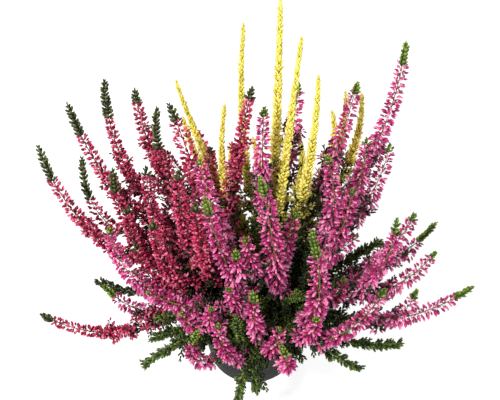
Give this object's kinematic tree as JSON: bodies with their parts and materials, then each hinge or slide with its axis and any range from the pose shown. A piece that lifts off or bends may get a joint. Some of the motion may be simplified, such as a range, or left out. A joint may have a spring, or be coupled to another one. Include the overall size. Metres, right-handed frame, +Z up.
{
  "type": "potted heather",
  "caption": "Heather in a round nursery pot: crimson and magenta-pink bud spikes and upright golden leafy shoots rise from a leafy heart set in compost.",
  "frame": {"origin": "middle of the pot's flat base, on the surface it stands on", "axes": "+Z up through the middle of the pot, -Y towards the side that the picture shows, +X to the right of it"},
  "size_m": [0.3757, 0.2367, 0.3533],
  "materials": {
    "pot": "thin black nursery plastic, lightly scuffed satin",
    "soil": "dark peat compost, crumbly and matt",
    "crimson_stems": "dark green scale leaves on brown wood",
    "pink_stems": "fresh green scale leaves on brown wood",
    "golden_stems": "olive green scale leaves on brown wood",
    "crimson_flowers": "matt crimson buds with pale edges, and a dark green tip",
    "pink_flowers": "matt magenta-pink buds with pale bases, and a light green tip",
    "golden_leaves": "lemon yellow scale leaves, greener low down"
  },
  "bodies": {
    "root": {"pot": "pot", "soil": "soil", "crimson_stems": "crimson_stems", "pink_stems": "pink_stems", "golden_stems": "golden_stems", "crimson_spray_01": "crimson_flowers", "crimson_spray_02": "crimson_flowers", "crimson_spray_03": "crimson_flowers", "crimson_spray_04": "crimson_flowers", "crimson_spray_05": "crimson_flowers", "crimson_spray_06": "crimson_flowers", "crimson_spray_07": "crimson_flowers", "crimson_spray_08": "crimson_flowers", "crimson_spray_09": "crimson_flowers", "crimson_spray_10": "crimson_flowers", "crimson_spray_11": "crimson_flowers", "crimson_spray_12": "crimson_flowers", "crimson_spray_13": "crimson_flowers", "crimson_spray_14": "crimson_flowers", "crimson_spray_15": "crimson_flowers", "crimson_spray_16": "crimson_flowers", "pink_spray_01": "pink_flowers", "pink_spray_02": "pink_flowers", "pink_spray_03": "pink_flowers", "pink_spray_04": "pink_flowers", "pink_spray_05": "pink_flowers", "pink_spray_06": "pink_flowers", "pink_spray_07": "pink_flowers", "pink_spray_08": "pink_flowers", "pink_spray_09": "pink_flowers", "pink_spray_10": "pink_flowers", "pink_spray_11": "pink_flowers", "pink_spray_12": "pink_flowers", "pink_spray_13": "pink_flowers", "pink_spray_14": "pink_flowers", "pink_spray_15": "pink_flowers", "pink_spray_16": "pink_flowers", "pink_spray_17": "pink_flowers", "pink_spray_18": "pink_flowers", "pink_spray_19": "pink_flowers", "pink_spray_20": "pink_flowers", "pink_spray_21": "pink_flowers", "pink_spray_22": "pink_flowers", "pink_spray_23": "pink_flowers", "pink_spray_24": "pink_flowers", "pink_spray_25": "pink_flowers", "pink_spray_26": "pink_flowers", "pink_spray_27": "pink_flowers", "golden_shoot_01": "golden_leaves", "golden_shoot_02": "golden_leaves", "golden_shoot_03": "golden_leaves", "golden_shoot_04": "golden_leaves", "golden_shoot_05": "golden_leaves", "golden_shoot_06": "golden_leaves", "golden_shoot_07": "golden_leaves", "golden_shoot_08": "golden_leaves", "golden_shoot_09": "golden_leaves"}
  },
  "joints": []
}
